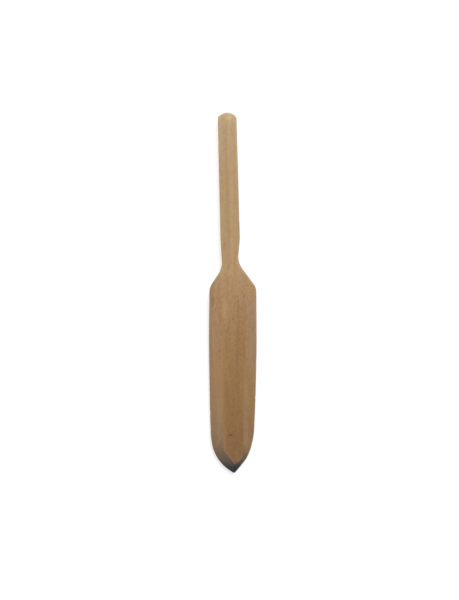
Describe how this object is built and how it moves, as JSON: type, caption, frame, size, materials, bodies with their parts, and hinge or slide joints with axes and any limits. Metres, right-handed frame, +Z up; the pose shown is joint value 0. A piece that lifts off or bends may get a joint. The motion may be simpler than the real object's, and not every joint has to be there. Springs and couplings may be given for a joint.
{
  "type": "clay modeling tool",
  "caption": "One-piece wooden clay modeling tool: slim bar handle with a rounded end, waisted neck, and a long blade with bevelled edges and a pointed, darkened tip.",
  "frame": {"origin": "middle of the tool's footprint, on its flat back face, as it lies on a table", "axes": "+Z up out of the table, +Y along the tool from the blade's tip to the handle's end, +X across the tool, to the right when seen from above with the handle up"},
  "size_m": [0.0264, 0.2, 0.008],
  "materials": {
    "beech": "fine-sanded bare beech, straight grain along the tool, with a dark grey to black stain on the tip"
  },
  "bodies": {
    "root": {"tool_body": "beech"}
  },
  "joints": []
}
